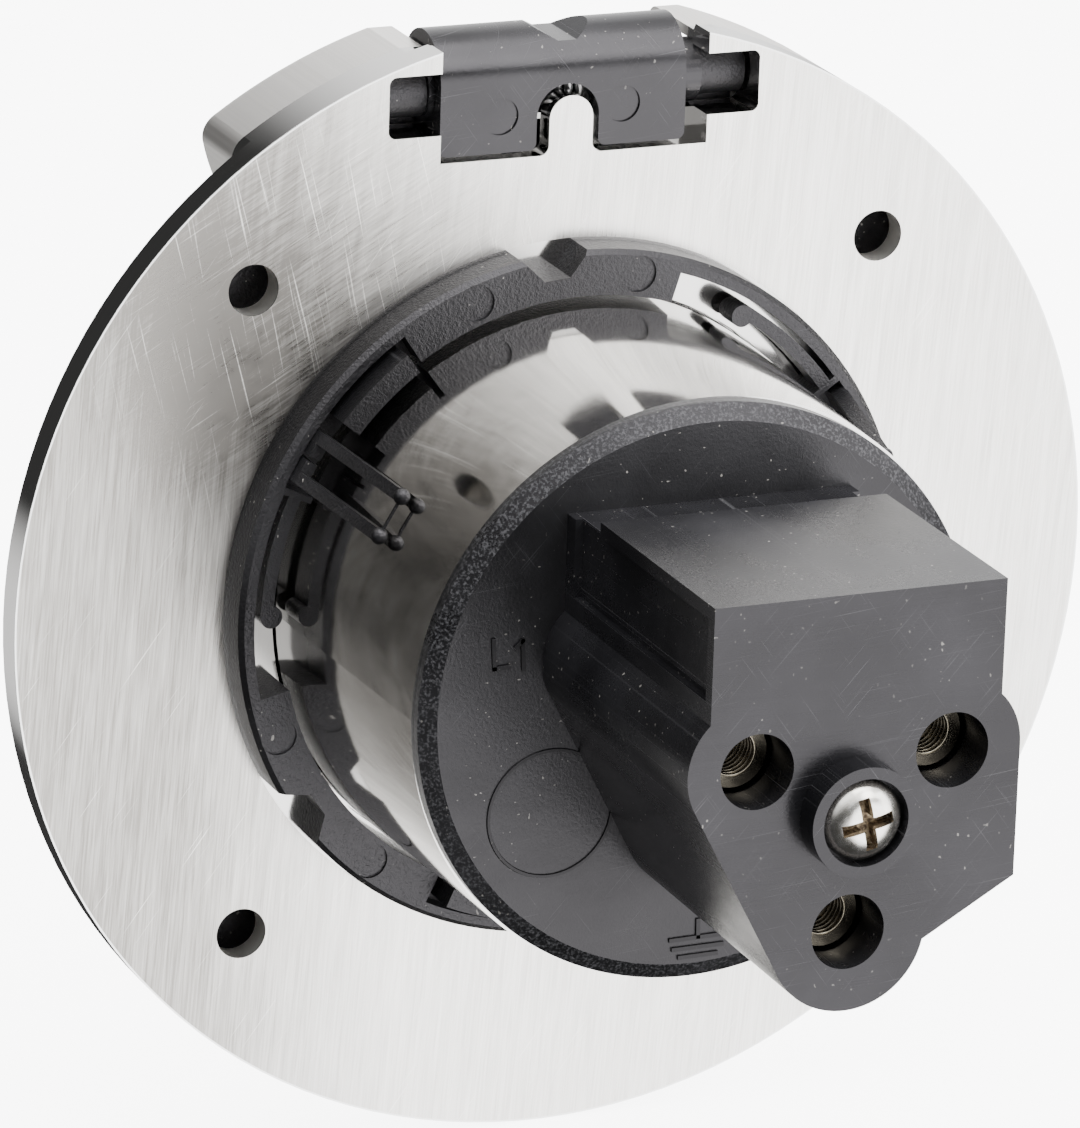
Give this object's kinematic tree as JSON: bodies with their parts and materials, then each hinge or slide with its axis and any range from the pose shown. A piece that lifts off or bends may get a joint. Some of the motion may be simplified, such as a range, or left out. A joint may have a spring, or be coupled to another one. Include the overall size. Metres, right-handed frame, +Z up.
{
  "type": "shore power inlet",
  "caption": "Round stainless flush-mount shore power inlet for a boat, with a hinged lid, a tube body, a twist-on locking ring and a screwed terminal cover.",
  "frame": {"origin": "centre of the flange's rear face, which lies against the hull", "axes": "+Z up towards the hinge, +Y into the boat along the inlet tube, +X to the left as seen from behind; the lid faces -Y"},
  "size_m": [0.117, 0.0912, 0.1161],
  "materials": {
    "brushed_stainless": "brushed, with fine scuffs",
    "polished_stainless": "mirror polished",
    "black_nylon": "fine grained, matte",
    "gloss_black_nylon": "smooth moulded, semi-gloss",
    "black_rubber": "smooth rubber",
    "spring_steel": "drawn wire",
    "pin_steel": "ground",
    "screw_steel": "bright",
    "contact_brass": "turned, satin"
  },
  "bodies": {
    "housing": {"flange_plate": "brushed_stainless", "inlet_tube": "polished_stainless", "lip_gasket": "black_rubber", "locking_ring": "black_nylon", "hinge_block": "gloss_black_nylon", "lid_spring": "spring_steel", "plug_shroud": "black_nylon", "contact_carrier": "black_nylon", "rear_cap": "black_nylon", "cap_ring": "black_rubber", "terminal_cover": "gloss_black_nylon", "cover_screw": "screw_steel", "contact_line": "contact_brass", "contact_neutral": "contact_brass", "contact_earth": "contact_brass", "clamp_screw_line": "screw_steel", "clamp_screw_neutral": "screw_steel", "clamp_screw_earth": "screw_steel"},
    "lid": {"lid_shell": "brushed_stainless", "lid_liner": "black_nylon", "lid_seal": "black_rubber", "lid_screw_1": "screw_steel", "lid_screw_2": "screw_steel", "lid_screw_3": "screw_steel", "hinge_pin": "pin_steel"}
  },
  "joints": [
    {"name": "lid_hinge", "type": "hinge", "parent": "housing", "child": "lid", "pos_m": [0, -0.0056, 0.0516], "axis": [-1, 0, 0], "range_deg": [0, 90], "stiffness_Nm_per_rad": 0.05, "springref_deg": -34.38}
  ]
}
